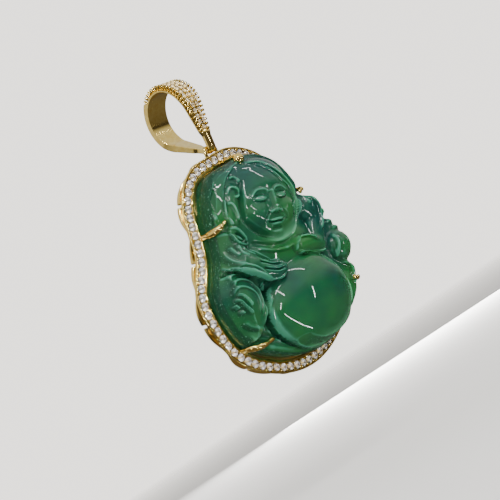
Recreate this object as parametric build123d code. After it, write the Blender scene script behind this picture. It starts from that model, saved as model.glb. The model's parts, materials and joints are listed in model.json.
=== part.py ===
from build123d import *
from math import asin, cos, hypot, pi, radians, sin, sqrt
import os

# A carved green stone pendant of a seated laughing figure, held by claws in an open gold
# setting with one row of small round stones, and hung from a tapered gold bail.
#
# Frame: origin at the inside top of the bail, where a chain sits. X to the viewer's right,
# the carving faces -Y, Z up. Millimetres. The pendant has its own upright frame with its
# origin on the hinge line of the loop; it is tilted to the angle at which it hangs.

# driving dimensions of the setting
RIM_DROP = 2.5            # from the hinge line down to the top of the row of stones
RIM_SETBACK = 1.0         # from the row's front plane back to the hinge line
STONE_D = 1.40            # round stones of the rim
STONE_COUNT = 74
BAND_OUT = 1.10           # rim band outside the centre line of its stones
BAND_IN = 1.00            # rim band inside it
BAND_FACE = 0.45          # front to back of the band's full-width face
BAND_WAIST = 0.75         # outside of the narrower band behind that face
BAND_DEEP = 1.10          # whole band, front to back
GROOVE_W = 1.50           # channel that the stones sit in
GROOVE_DEEP = 0.42
BEARING_W = 0.90          # narrower channel below it for the stones' points
BEARING_DEEP = 0.85
SEAT_IN = 2.30            # inner edge of the ledge under the carving
SEAT_T = 0.45             # ledge front to back
LEDGE_LAP = 0.05          # how far the ledge runs into the band
STONE_SINK = 0.12         # girdle of the rim stones behind the row's front plane

# driving dimensions of the carving
CARVING_IN = 1.45         # its outline lies this far inside the stones' centre line
CARVING_BACK = 0.60       # flat back, behind the row's front plane
FIT_GAP = 0.05            # clearance between the carving and the gold
WALL_LEAN = 0.45          # how far its side wall leans in
EDGE_ROUND = 0.35         # rounded edge between the wall and the carved face
EDGE_HIGH = 3.90          # height of that edge in front of the row's plane, in the middle
EDGE_SLOPE = 0.08         # rise of the edge for each mm to the right
DOME_ROUND = 5.0          # radius of the steepest rise of a form from the edge
DOME_STEEP = 1.6          # that rise as a share of a true round

# driving dimensions of the gallery behind the rim
WING_PAIRS = 11
WING_BACK = 2.10          # back of the wings at the notches, behind the row's front plane
WING_ROOT = 0.05          # front of a wing's bar where it leaves the band's face
WING_BAR = 0.85           # width of the bar at the notch and where it leaves the band
WING_BAR_ROOT = 0.40
WING_GAP = 0.60           # notch between the two wings of a pair
WING_BOW = 0.20           # how far the bars bow outward
WING_STEPS = 6
STRUT_W = 0.45
STRUT_LAP = 0.10          # how far a strut runs into the band and into its bar
WING_SHIFT = 1.90         # the pairs start this far round from the top
WING_OUT = 1.00           # gallery wall, its outer and inner side outside the row's line
WING_IN = 0.40

# driving dimensions of the claws, loop and bail
CLAW_STAND = 1.07         # the claws stand this far inside the stones' centre line
CLAW_ROOT_T = 0.30        # half thickness and half width of a claw where it stands
CLAW_ROOT_W = 0.45
CLAW_R = 0.48             # radius of its bend
CLAW_TIP_R = 0.36
CLAW_NECK = 0.80          # half thickness of a claw where it meets its round tip, as a share of the tip
CLAW_REACH = 2.90         # how far the two left claws reach over the carving
CLAW_REACH_RIGHT = 1.70   # and the two right ones
CLAW_CLEAR = 0.15
LOOP_WIRE_R = 0.33
LOOP_GAP = 1.90           # clear width between the arms of the loop
LOOP_CORNER_R = 0.60
LOOP_SINK = 0.20          # how far the loop's feet run into the rim
BAIL_LENGTH = 8.90        # hinge line to the centre of the bail's upper round
BAIL_ROUND_R = 6.25       # outside radius of that round
BAIL_T = 1.30             # thickness of the bail's strip
BAIL_EYE_R = 0.45         # inside radius around the loop's wire
BAIL_EYE_T = 0.70
BAIL_W_EYE = 1.60         # width in the loop, just above it, at the round's middle and at the top
BAIL_W_LOW = 2.15
BAIL_W_MID = 4.00
BAIL_W_HIGH = 4.50
BAIL_WIDENS = 1.60        # height over the hinge line where the strip leaves the loop
TRAY_LIP = 0.30           # plain edge beside the stones of the bail
TRAY_DEEP = 0.50
TRAY_START = 1.60         # height at which the stones begin
TRAY_OVER = 1.20          # how far past the top they go
BAIL_STONE_D = 0.86
BAIL_STONE_PITCH = 1.06
BAIL_ROW_PITCH = 1.00
BAIL_LEAN = 18.2          # degrees that the bail leans back
HANG_TILT = 12.9          # degrees that the carving's face looks down when it hangs

# outline of the row of stones: width to the left and right of the middle at each depth
# below the row's top
OUTLINE = [
    # depth, left, right
    (1.0, 6.0, 6.0),
    (4.0, 9.6, 9.6),
    (9.2, 11.6, 11.8),
    (15.0, 12.9, 13.9),
    (20.4, 16.0, 16.8),
    (26.0, 16.2, 16.9),
    (31.6, 14.6, 14.8),
    (36.2, 9.8, 9.8),
]
OUTLINE_DEPTH = 39.2

# rounded forms of the carving: middle, half widths, foot and rise of each, in mm, with the
# turn of its long axis in degrees. Heights are in front of the row's plane.
FORMS = [
    # name, x, depth, half_x, half_z, turn, foot, rise
    ("hood", 0.6, 10.4, 10.0, 9.6, 0, 2.4, 3.2),
    ("head", 1.7, 10.7, 6.7, 7.1, 12, 3.6, 4.0),
    ("chest", 0.6, 19.5, 9.5, 6.0, 0, 3.0, 3.6),
    ("belly", 1.9, 28.9, 9.9, 8.3, 0, 4.2, 4.9),
    ("left_knee", -11.0, 24.8, 4.4, 5.6, 8, 3.2, 3.2),
    ("right_knee", 10.6, 30.4, 4.0, 5.0, -20, 3.0, 3.0),
    ("left_shoulder", -9.0, 16.0, 3.6, 3.4, 0, 2.6, 3.2),
    ("right_shoulder", 9.6, 15.2, 3.8, 4.0, 0, 2.8, 4.0),
    ("bag", 13.2, 22.8, 2.8, 3.4, 0, 3.0, 3.8),
]

# long rounded forms between two ends: their middle lines, radius and heights at the ends
ARMS = [
    # name, x1, depth1, height1, x2, depth2, height2, radius
    ("left_arm", -10.0, 16.8, 4.6, -5.8, 21.6, 7.2, 2.4),
    ("left_hand", -6.0, 21.4, 7.8, -3.0, 24.0, 9.0, 1.8),
    ("right_arm", 11.0, 16.4, 4.8, 9.6, 21.0, 6.2, 2.2),
    ("right_cuff", 8.8, 21.8, 6.4, 2.8, 19.6, 7.2, 1.8),
    ("left_ear", -4.5, 7.2, 5.2, -6.2, 13.6, 5.0, 1.4),
    ("hem", -8.0, 34.8, 3.0, 7.0, 35.6, 4.0, 1.5),
]
ARM_SINK = 0.8            # a long form's height line lies this share of its radius under its middle
BLEND = 0.45              # how softly one form runs into the next
CARVING_SECTORS = 76
CARVING_RINGS = 28


def outline_edge():
    """Closed smooth curve through the row of stones, in the pendant's frame."""
    right = [(r, -RIM_DROP - d) for d, l, r in OUTLINE]
    left = [(-l, -RIM_DROP - d) for d, l, r in reversed(OUTLINE)]
    points = [(0, -RIM_DROP)] + right + [(0, -RIM_DROP - OUTLINE_DEPTH)] + left
    return Spline([Vector(x, 0, z) for x, z in points], periodic=True)


ROW = outline_edge()


def row_point(share, inward=0.0):
    """Point on the row at a share of its length, moved inward by a distance."""
    p = ROW @ share
    t = ROW % share
    return p.X + t.Z * inward, p.Z - t.X * inward


def outline_wire(inward, y, count=40):
    """The outline moved inward, as tangent-like arcs through evenly spaced points."""
    points = []
    for i in range(count):
        x, z = row_point(i / count, inward)
        points.append(Vector(x, y, z))
    arcs = []
    for i in range(0, count, 2):
        arcs.append(ThreePointArc(points[i], points[i + 1], points[(i + 2) % count]))
    return Wire([a.edge() for a in arcs])


def ring_plate(out, inward, y_front, y_back):
    """Flat ring between two offsets of the outline."""
    face = Face(outline_wire(-out, y_front), [outline_wire(inward, y_front)])
    return extrude(face, amount=y_back - y_front, dir=(0, 1, 0))


def soft_max(a, b, blend):
    """The larger of two heights with a rounded corner between them."""
    gap = max(0.0, 1.0 - abs(a - b) / blend)
    return max(a, b) + blend * gap * gap / 4


def edge_height(x):
    return EDGE_HIGH + EDGE_SLOPE * x


def relief(x, z, from_edge):
    """Height of the carving in front of the row's plane, at a distance in from its edge."""
    depth = -z - RIM_DROP
    height = edge_height(x)
    for name, cx, cd, half_x, half_z, turn, foot, rise in FORMS:
        c, s = cos(radians(turn)), sin(radians(turn))
        u = (x - cx) * c - (depth - cd) * s
        v = (x - cx) * s + (depth - cd) * c
        r2 = (u / half_x) ** 2 + (v / half_z) ** 2
        if r2 < 1:
            height = soft_max(height, foot + rise * sqrt(1 - r2), BLEND)
    for name, x1, d1, h1, x2, d2, h2, radius in ARMS:
        dx, dd = x2 - x1, d2 - d1
        t = ((x - x1) * dx + (depth - d1) * dd) / (dx * dx + dd * dd)
        t = min(1.0, max(0.0, t))
        r2 = ((x - x1 - t * dx) ** 2 + (depth - d1 - t * dd) ** 2) / radius ** 2
        if r2 < 1:
            height = soft_max(height, h1 + t * (h2 - h1) + radius * (sqrt(1 - r2) - ARM_SINK), BLEND)
    inside = max(0.0, min(from_edge, DOME_ROUND))
    cap = edge_height(x) + DOME_STEEP * sqrt(inside * (2 * DOME_ROUND - inside))
    return min(height, cap)


def facets(corners):
    """Planar faces of a quad, as one face where it is flat and two triangles where not."""
    a, b, c, d = corners
    faces = []
    for tri in ((a, b, c), (a, c, d)):
        if (tri[1] - tri[0]).cross(tri[2] - tri[0]).length > 1e-7:
            faces.append(Face(Wire.make_polygon(tri, close=True)))
    return faces


def closed_solid(faces):
    return Solid(Shell(faces))


def make_carving():
    """Faceted relief: rings of points from its middle out, a leaning wall and a flat back."""
    middle_z = -RIM_DROP - OUTLINE_DEPTH / 2
    face_in = CARVING_IN + WALL_LEAN + EDGE_ROUND
    rows = []
    for k in range(1, CARVING_RINGS + 1):
        share = k / CARVING_RINGS
        row = []
        for i in range(CARVING_SECTORS):
            ex, ez = row_point(i / CARVING_SECTORS, face_in)
            x = share * ex
            z = middle_z + share * (ez - middle_z)
            from_edge = (1 - share) * hypot(ex, ez - middle_z)
            row.append(Vector(x, -RIM_SETBACK - relief(x, z, from_edge), z))
        rows.append(row)
    wall = [
        # inset, share of the edge's height, drop
        (CARVING_IN + WALL_LEAN, 1.0, EDGE_ROUND),
        (CARVING_IN, 0.0, 0.0),
        (CARVING_IN, 0.0, CARVING_BACK),
    ]
    for inset, share, drop in wall:
        row = []
        for i in range(CARVING_SECTORS):
            x, z = row_point(i / CARVING_SECTORS, inset)
            row.append(Vector(x, -RIM_SETBACK - share * edge_height(x) + drop, z))
        rows.append(row)
    faces = []
    top = Vector(0, -RIM_SETBACK - relief(0, middle_z, DOME_ROUND), middle_z)
    for i in range(CARVING_SECTORS):
        j = (i + 1) % CARVING_SECTORS
        faces.append(Face(Wire.make_polygon([top, rows[0][i], rows[0][j]], close=True)))
        for inner, outer in zip(rows, rows[1:]):
            faces.extend(facets((inner[i], outer[i], outer[j], inner[j])))
    faces.append(Face(Wire.make_polygon(rows[-1], close=True)))
    return closed_solid(faces)


# proportions of a round brilliant, each a share of its girdle's radius
TABLE_R = 0.58
CROWN_H = 0.34
PAVILION_H = 0.84


def cut_stone(radius, centre, up, across):
    """Round brilliant: eight-sided table, sixteen crown facets and eight below, on a thin girdle."""
    side = up.cross(across)

    def ring(r, h, turn):
        out = []
        for i in range(8):
            a = 2 * pi * (i + turn) / 8
            out.append(centre + across * (r * cos(a)) + side * (r * sin(a)) + up * h)
        return out
    table = ring(radius * TABLE_R, radius * CROWN_H, 0.5)
    girdle = ring(radius, 0.0, 0.0)
    point = centre - up * (radius * PAVILION_H)
    faces = [Face(Wire.make_polygon(table, close=True))]
    for i in range(8):
        j = (i + 1) % 8
        faces.append(Face(Wire.make_polygon([girdle[i], girdle[j], table[i]], close=True)))
        faces.append(Face(Wire.make_polygon([table[i], girdle[j], table[j]], close=True)))
        faces.append(Face(Wire.make_polygon([girdle[j], girdle[i], point], close=True)))
    return closed_solid(faces)


def make_rim_stones():
    stones = []
    y = -RIM_SETBACK
    for i in range(STONE_COUNT):
        x, z = row_point((i + 0.5) / STONE_COUNT)
        t = ROW % ((i + 0.5) / STONE_COUNT)
        stones.append(cut_stone(STONE_D / 2, Vector(x, y + STONE_SINK, z), Vector(0, -1, 0), t))
    return stones


def wing_bar(start, side):
    """One bowed bar of the gallery, from the band's face back to the notch, with its strut."""
    front = -RIM_SETBACK
    run = 0.5 / WING_PAIRS - WING_GAP / 2 / ROW.length
    strut = STRUT_W / ROW.length
    sections = []
    for k in range(WING_STEPS):
        u = k / (WING_STEPS - 1)
        swell = sin(u * pi / 2)
        bar = WING_BAR_ROOT + (WING_BAR - WING_BAR_ROOT) * swell
        back = WING_ROOT + WING_BAR_ROOT + (WING_BACK - WING_ROOT - WING_BAR_ROOT) * swell
        share = (start + side * u * run) % 1.0
        sections.append(section_wire(share, front + back - bar, front + back, WING_BOW * sin(u * pi)))
    bar = Solid.make_loft(sections, ruled=True)
    ends = [(start + side * (run - strut)) % 1.0, (start + side * run) % 1.0]
    strut_front = front + BAND_FACE - STRUT_LAP
    strut_back = front + WING_BACK - STRUT_LAP
    post = Solid.make_loft([section_wire(s, strut_front, strut_back, 0.0) for s in ends], ruled=True)
    return [bar, post]


def section_wire(share, y1, y2, bow):
    """Rectangle across the gallery wall at a share of the row, moved out by its bow."""
    xo, zo = row_point(share, -WING_OUT - bow)
    xi, zi = row_point(share, -WING_IN - bow)
    corners = [Vector(xo, y1, zo), Vector(xi, y1, zi), Vector(xi, y2, zi), Vector(xo, y2, zo)]
    return Wire.make_polygon(corners, close=True)


# claws: share of the row's length at which each stands, clockwise from the top, its reach
# over the carving, and the radius of its round tip
CLAWS = [
    # name, share, reach, tip
    ("top", 0.003, 0.75, 0.95),
    ("upper_right", 0.158, CLAW_REACH_RIGHT, CLAW_TIP_R),
    ("lower_right", 0.345, CLAW_REACH_RIGHT, CLAW_TIP_R),
    ("lower_left", 0.643, CLAW_REACH, CLAW_TIP_R),
    ("upper_left", 0.838, CLAW_REACH, CLAW_TIP_R),
]


def make_claw(share, reach, tip):
    """Horn that rises beside the carving and bends over its edge, ending in a round tip."""
    over = 0.0
    for k in range(9):
        inset = CLAW_STAND + reach * k / 8
        x, z = row_point(share, inset)
        over = max(over, relief(x, z, inset - CARVING_IN - WALL_LEAN - EDGE_ROUND))
    lift = over + max(CLAW_R, tip) + CLAW_CLEAR
    stations = [
        # reach, height, half thickness, half width
        (0.0, -CARVING_BACK, CLAW_ROOT_T, CLAW_ROOT_W),
        (0.0, lift * 0.45, CLAW_ROOT_T, CLAW_ROOT_W),
        (reach * 0.10, lift * 0.78, CLAW_R * 0.8, CLAW_R),
        (reach * 0.42, lift * 1.02, CLAW_R, CLAW_R),
        (reach, lift, tip * CLAW_NECK, tip * CLAW_NECK),
    ]
    points = []
    for out, height, thick, wide in stations:
        x, z = row_point(share, CLAW_STAND + out)
        points.append(Vector(x, -RIM_SETBACK - height, z))
    path = Spline(points)
    across = ROW % share
    sections = []
    for p, (out, height, thick, wide) in zip(points, stations):
        along = path.tangent_at(path.param_at_point(p))
        sections.append((Plane(origin=p, x_dir=across, z_dir=along) * Ellipse(wide, thick)).face())
    return [loft(sections), Pos(*points[-1]) * Sphere(tip)]


def make_loop():
    """Upright wire loop on top of the rim; its straight top is the hinge line."""
    half = LOOP_GAP / 2 + LOOP_WIRE_R
    low = -RIM_DROP + BAND_WAIST - LOOP_SINK
    points = [Vector(-half, 0, low), Vector(-half, 0, 0), Vector(half, 0, 0), Vector(half, 0, low)]
    path = Wire(FilletPolyline(points, radius=LOOP_CORNER_R).edges())
    profile = Plane(origin=points[0], z_dir=(0, 0, 1)) * Circle(LOOP_WIRE_R)
    return sweep(profile, path=path)


def make_setting():
    """Stone channel, ledge, gallery wings, claws and loop, soldered into one piece."""
    front = -RIM_SETBACK
    face = ring_plate(BAND_OUT, BAND_IN, front, front + BAND_FACE)
    waist = ring_plate(BAND_WAIST, BAND_IN, front + BAND_FACE, front + BAND_DEEP)
    channel = ring_plate(GROOVE_W / 2, GROOVE_W / 2, front - 1, front + GROOVE_DEEP)
    bearing = ring_plate(BEARING_W / 2, BEARING_W / 2, front + GROOVE_DEEP, front + BEARING_DEEP)
    ledge_front = front + CARVING_BACK + FIT_GAP
    pieces = [ring_plate(LEDGE_LAP - BAND_IN, SEAT_IN, ledge_front, ledge_front + SEAT_T)]
    for i in range(WING_PAIRS):
        start = (i + 0.5) / WING_PAIRS - WING_SHIFT / ROW.length
        pieces += wing_bar(start, 1) + wing_bar(start, -1)
    body = face.fuse(waist, *pieces) - channel - bearing
    for name, share, reach, tip in CLAWS:
        horn, ball = make_claw(share, reach, tip)
        body = body.fuse(horn.fuse(ball))
    return body.fuse(make_loop())


def teardrop(round_r, eye_r):
    """Side view of the bail in its own plane: two circles and their outer tangents."""
    lean = asin((round_r - eye_r) / BAIL_LENGTH)
    c, s = cos(lean), sin(lean)
    a = Vector(0, -eye_r * c, -eye_r * s)
    b = Vector(0, -round_r * c, BAIL_LENGTH - round_r * s)
    a2 = Vector(0, -a.Y, a.Z)
    b2 = Vector(0, -b.Y, b.Z)
    edges = [
        Line(a, b),
        ThreePointArc(b, Vector(0, 0, BAIL_LENGTH + round_r), b2),
        Line(b2, a2),
        ThreePointArc(a2, Vector(0, 0, -eye_r), a),
    ]
    return Face(Wire([e.edge() for e in edges]))


def slab(face, width):
    """Side view given a width across X."""
    return extrude(face, amount=width / 2, dir=(1, 0, 0), both=True)


# width of the bail at heights over the hinge line
BAIL_WIDTHS = [
    # height, width
    (-2.0, BAIL_W_EYE),
    (BAIL_WIDENS - 0.5, BAIL_W_EYE),
    (BAIL_WIDENS, BAIL_W_LOW),
    (BAIL_LENGTH * 0.9, BAIL_W_MID),
    (BAIL_LENGTH + BAIL_ROUND_R + 1, BAIL_W_HIGH),
]


def strip_half_width(z, lip=0.0):
    """Half the width of the bail at a height above the hinge line."""
    for (z1, w1), (z2, w2) in zip(BAIL_WIDTHS, BAIL_WIDTHS[1:]):
        if z <= z2:
            return (w1 + (w2 - w1) * (z - z1) / (z2 - z1)) / 2 - lip
    return BAIL_W_HIGH / 2 - lip


def front_shape(lip):
    """Front view of the bail: narrow at the loop, widening up to the round."""
    right = [(w / 2 - lip, z) for z, w in BAIL_WIDTHS]
    left = [(-x, z) for x, z in reversed(right)]
    face = Face(Wire.make_polygon([Vector(x, -20, z) for x, z in right + left], close=True))
    return extrude(face, amount=40, dir=(0, 1, 0))


def make_bail():
    eye_out = BAIL_EYE_R + BAIL_EYE_T
    outer = slab(teardrop(BAIL_ROUND_R, eye_out), 10)
    inner = slab(teardrop(BAIL_ROUND_R - BAIL_T, BAIL_EYE_R), 12)
    strip = (outer - inner) & front_shape(0.0)
    tray = outer - slab(teardrop(BAIL_ROUND_R - TRAY_DEEP, eye_out - TRAY_DEEP), 12)
    tray = tray & front_shape(TRAY_LIP)
    front_half = Pos(0, -10 + TRAY_OVER, TRAY_START + 10) * Box(12, 20, 20)
    return strip - (tray & front_half)


def strip_path(distance):
    """Point and outward direction on the bail's outside, measured up its front from the eye."""
    eye = BAIL_EYE_R + BAIL_EYE_T
    lean = asin((BAIL_ROUND_R - eye) / BAIL_LENGTH)
    straight = sqrt(BAIL_LENGTH ** 2 - (BAIL_ROUND_R - eye) ** 2)
    n = Vector(0, -cos(lean), -sin(lean))
    up = Vector(0, -sin(lean), cos(lean))
    if distance < straight:
        return n * eye + up * distance, n
    a = lean - (distance - straight) / BAIL_ROUND_R
    n = Vector(0, -cos(a), -sin(a))
    return Vector(0, 0, BAIL_LENGTH) + n * BAIL_ROUND_R, n


def make_bail_stones():
    """Rows of stones from the low end of the tray up the front and over the top."""
    stones = []
    distance = 0.0
    while True:
        p, n = strip_path(distance)
        if p.Y > TRAY_OVER - BAIL_STONE_D:
            break
        distance += 0.02
        if p.Z < TRAY_START + BAIL_STONE_D * 0.75:
            continue
        seat = p - n * 0.1
        field = 2 * strip_half_width(p.Z, TRAY_LIP) - BAIL_STONE_D - 0.1
        count = max(1, int(field / BAIL_ROW_PITCH) + 1)
        for k in range(count):
            x = (k - (count - 1) / 2) * BAIL_ROW_PITCH
            stones.append(cut_stone(BAIL_STONE_D / 2, Vector(x, seat.Y, seat.Z), n, Vector(1, 0, 0)))
        distance += BAIL_STONE_PITCH - 0.02
    return stones


def hang(shape):
    """Pendant frame to the part's frame: tilt about the hinge line, then lower below the bail."""
    return hinge_place() * (Rot(HANG_TILT, 0, 0) * shape)


def hinge_place():
    """The hinge line, below the highest point inside the leaning bail."""
    lean = radians(BAIL_LEAN)
    inside = BAIL_ROUND_R - BAIL_T
    return Pos(0, -BAIL_LENGTH * sin(lean), -BAIL_LENGTH * cos(lean) - inside)


def lean_back(shape):
    """Bail frame to the part's frame."""
    return hinge_place() * (Rot(-BAIL_LEAN, 0, 0) * shape)


def main():
    os.makedirs("parts", exist_ok=True)
    nodes = {
        "jade_buddha": hang(make_carving()),
        "setting": hang(make_setting()),
        "rim_stones": hang(Compound(make_rim_stones())),
        "bail": lean_back(make_bail()),
        "bail_stones": lean_back(Compound(make_bail_stones())),
    }
    for name, shape in nodes.items():
        export_step(shape, "parts/" + name + ".step")


main()
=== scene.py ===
"""Carved green stone pendant in a gold claw setting, hung from a stone-set bail."""

import json
from math import asin, atan2, cos, floor, hypot, pi, radians, sin, sqrt, tau

import bmesh
import bpy
import numpy as np
from mathutils import Matrix, Vector


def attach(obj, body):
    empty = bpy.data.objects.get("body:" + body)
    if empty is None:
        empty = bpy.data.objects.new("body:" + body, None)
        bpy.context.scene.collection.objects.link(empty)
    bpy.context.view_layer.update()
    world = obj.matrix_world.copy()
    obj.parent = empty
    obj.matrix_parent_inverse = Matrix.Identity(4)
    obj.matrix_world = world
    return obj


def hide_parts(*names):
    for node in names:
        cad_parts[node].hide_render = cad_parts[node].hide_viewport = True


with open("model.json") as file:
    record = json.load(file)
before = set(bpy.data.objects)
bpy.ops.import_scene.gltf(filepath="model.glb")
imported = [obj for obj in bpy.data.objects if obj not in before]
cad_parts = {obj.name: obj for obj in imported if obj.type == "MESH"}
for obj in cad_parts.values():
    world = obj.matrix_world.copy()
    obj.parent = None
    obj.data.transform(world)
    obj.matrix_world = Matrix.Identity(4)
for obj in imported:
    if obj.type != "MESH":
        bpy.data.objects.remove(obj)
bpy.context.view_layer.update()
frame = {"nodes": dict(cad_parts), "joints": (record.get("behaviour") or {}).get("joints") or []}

# The pendant hangs by its loop with its weight under the hinge line. Its own frame has its
# origin on that line: x to the right, z up and h out of the carved face, in millimetres, with
# h measured from the front plane of the row of stones.
MM = 0.001
HINGE = Vector(frame["joints"][0]["pos_m"])
HANG_TILT = radians(12.9)
RIM_DROP = 2.5            # top of the row of stones under the hinge line
RIM_SETBACK = 1.0         # front plane of the row in front of it
TO_WORLD = Matrix.Translation(HINGE) @ Matrix.Rotation(HANG_TILT, 4, "X") @ Matrix.Scale(MM, 4)
TO_PENDANT = TO_WORLD.inverted()


def on_pendant(x, z, h):
    """Point of the pendant in metres."""
    return TO_WORLD @ Vector((x, -RIM_SETBACK - h, z))


# Studio: a pale table under the pendant, a pale room round it and soft lights. The camera looks
# at the pendant from its front left, close by and with its own top leaning right.
CAMERA_AT = Vector((-115.31, -135.08, -10.58))
CAMERA_TURN = radians(-40.13)
CAMERA_RISE = radians(2.92)
CAMERA_ROLL = radians(-25.2)
LENS_MM = 72
NEAREST_M = 0.005


def srgb(hex_code):
    """Linear colour of an sRGB hex value."""
    out = []
    for i in (1, 3, 5):
        c = int(hex_code[i:i + 2], 16) / 255
        out.append(c / 12.92 if c <= 0.04045 else ((c + 0.055) / 1.055) ** 2.4)
    return (*out, 1.0)


def add(tree, kind, settings=None, **inputs):
    """Node of a kind with its settings. Its inputs, i0, i1 and so on by number and others by
    name, are given as values or as other sockets."""
    node = tree.nodes.new("ShaderNode" + kind)
    for key, value in (settings or {}).items():
        setattr(node, key, value)
    for key, value in inputs.items():
        socket = node.inputs[int(key[1:])] if key[1:].isdigit() else node.inputs[key.replace("_", " ")]
        if isinstance(value, bpy.types.NodeSocket):
            tree.links.new(value, socket)
        else:
            socket.default_value = value
    return node


def ramp(tree, share, stops):
    """Colour that follows a share, from stops given as a share and an sRGB colour."""
    node = add(tree, "ValToRGB", i0=share)
    for k, (at, colour) in enumerate(stops):
        if k > 1:
            node.color_ramp.elements.new(at)
        node.color_ramp.elements[k].position = at
        node.color_ramp.elements[k].color = srgb(colour)
    return node.outputs[0]


def place_in_scene(name, data):
    """Object of a mesh, lamp or camera, linked to the scene."""
    thing = bpy.data.objects.new(name, data)
    bpy.context.collection.objects.link(thing)
    return thing


camera = place_in_scene("camera", bpy.data.cameras.new("camera"))
camera.data.lens = LENS_MM
camera.data.clip_start = NEAREST_M
back = Vector((sin(CAMERA_TURN) * cos(CAMERA_RISE), -cos(CAMERA_TURN) * cos(CAMERA_RISE),
               sin(CAMERA_RISE)))
level = Vector((cos(CAMERA_TURN), sin(CAMERA_TURN), 0))
over = back.cross(level)
right = level * cos(CAMERA_ROLL) + over * sin(CAMERA_ROLL)
up = back.cross(right)
turned = Matrix((right, up, back)).transposed().to_4x4()
hung = Matrix.Rotation(HANG_TILT, 4, "X")
camera.matrix_world = Matrix.Translation(TO_WORLD @ CAMERA_AT) @ hung @ turned
bpy.context.scene.camera = camera

# the room, from straight down to straight up; the camera sees a plain backdrop instead
ROOM_SHADES = [
    (0.0, "#7d776d"), (0.36, "#6a645b"), (0.47, "#34302b"), (0.60, "#efece6"), (1.0, "#ffffff"),
]
BACKDROP = "#e6e2dc"
ROOM_LIGHT = 0.9
BACKDROP_LIGHT = 2.9
LIGHT_THROUGH_STONES = 2.4   # more, where it comes through the clear stones
world = bpy.data.worlds.new("room")
bpy.context.scene.world = world
world.use_nodes = True
room = world.node_tree
rays = add(room, "LightPath").outputs
way = add(room, "TexCoord").outputs["Generated"]
height = add(room, "SeparateXYZ", i0=way).outputs["Z"]
shade = ramp(room, add(room, "MapRange", i0=height, i1=-1.0, i2=1.0).outputs[0], ROOM_SHADES)
tone = add(room, "Mix", {"data_type": "RGBA"}, Factor=rays["Is Camera Ray"])
room.links.new(shade, tone.inputs[6])
tone.inputs[7].default_value = srgb(BACKDROP)
room.links.new(tone.outputs[2], room.nodes["Background"].inputs["Color"])
plain = add(room, "MapRange", i0=rays["Is Camera Ray"], i3=ROOM_LIGHT, i4=BACKDROP_LIGHT).outputs[0]
strength = add(room, "Math", {"operation": "MULTIPLY_ADD"}, i0=rays["Is Transmission Ray"],
               i1=LIGHT_THROUGH_STONES, i2=plain).outputs[0]
room.links.new(strength, room.nodes["Background"].inputs["Strength"])

LAMPS_AIM = on_pendant(0, -RIM_DROP - 19, 5)   # the middle of the carving
SOFT_LAMPS = [
    # name, place in the pendant's frame in mm, width and height in m, watts; too soft to show
    # in polished faces
    ("soft_top", (-40, -260, 220), 0.24, 0.16, 1.1),
    ("soft_left", (-300, -60, -60), 0.20, 0.20, 0.5),
    ("soft_behind", (210, 170, -60), 0.16, 0.16, 2.2),
]
STRIP_LAMPS = [
    # name, its two ends in the pendant's frame in mm, width in mm, watts; they show as lines of
    # light in polished faces
    ("low_left_strip", (-185, -200, -40), (34, -187, -225), 2.5, 0.30),
    ("upper_left_strip", (-139, -25, 196), (-91, -224, 92), 3, 0.18),
    ("front_right_strip", (128, -230, 10), (112, -236, -50), 4, 0.05),
    ("left_strip", (-262, -10, -90), (-255, -30, 90), 2.5, 0.13),
    ("near_strip", (-215, -190, 10), (-170, -205, 60), 2, 0.10),
    ("high_strip", (-190, -120, 190), (-60, -170, 210), 2.5, 0.14),
    ("top_strip", (60, -120, 230), (150, -170, 120), 3, 0.10),
]


def area_lamp(name, place, width, tall, watts):
    """Lamp with a lit rectangle, which the camera doesn't see."""
    lamp = place_in_scene(name, bpy.data.lights.new(name, "AREA"))
    lamp.data.shape = "RECTANGLE"
    lamp.data.size = width
    lamp.data.size_y = tall
    lamp.data.energy = watts
    lamp.location = place
    lamp.visible_camera = False
    return lamp


for name, place, width, tall, watts in SOFT_LAMPS:
    lamp = area_lamp(name, TO_WORLD @ Vector(place), width, tall, watts)
    lamp.rotation_euler = (LAMPS_AIM - lamp.location).to_track_quat("-Z", "Y").to_euler()
    lamp.visible_glossy = False
for name, start, end, width, watts in STRIP_LAMPS:
    start, end = TO_WORLD @ Vector(start), TO_WORLD @ Vector(end)
    lamp = area_lamp(name, (start + end) / 2, (end - start).length, width * MM, watts)
    long_axis = (end - start).normalized()
    away = (lamp.location - LAMPS_AIM).normalized()
    away = (away - long_axis * away.dot(long_axis)).normalized()
    lamp.rotation_euler = Matrix((long_axis, away.cross(long_axis), away)).transposed().to_euler()

# the table fades out towards its edge, so that no line shows where it ends
TABLE_Z = -0.075
TABLE_RADIUS = 1.2
FADE = (0.0, 0.75)        # shares of the gradient from clear to solid
bpy.ops.object.select_all(action="DESELECT")
bpy.ops.mesh.primitive_circle_add(vertices=96, radius=TABLE_RADIUS, fill_type="NGON",
                                  location=(0, 0, TABLE_Z))
table = bpy.context.object
table.name = "table"
tabletop = bpy.data.materials.new("pale_matt_table")
tabletop.use_nodes = True
tree = tabletop.node_tree
shader = tree.nodes["Principled BSDF"]
shader.inputs["Base Color"].default_value = srgb("#dcdad6")
shader.inputs["Roughness"].default_value = 0.9
place = add(tree, "TexCoord").outputs["Object"]
fade = add(tree, "TexGradient", {"gradient_type": "SPHERICAL"}, i0=place).outputs["Fac"]
solid = add(tree, "MapRange", i0=fade, i1=FADE[0], i2=FADE[1]).outputs[0]
clear = add(tree, "BsdfTransparent").outputs[0]
mix = add(tree, "MixShader", i0=solid, i1=clear, i2=shader.outputs[0]).outputs[0]
tree.links.new(mix, tree.nodes["Material Output"].inputs[0])
table.data.materials.append(tabletop)
table.visible_glossy = False


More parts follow.
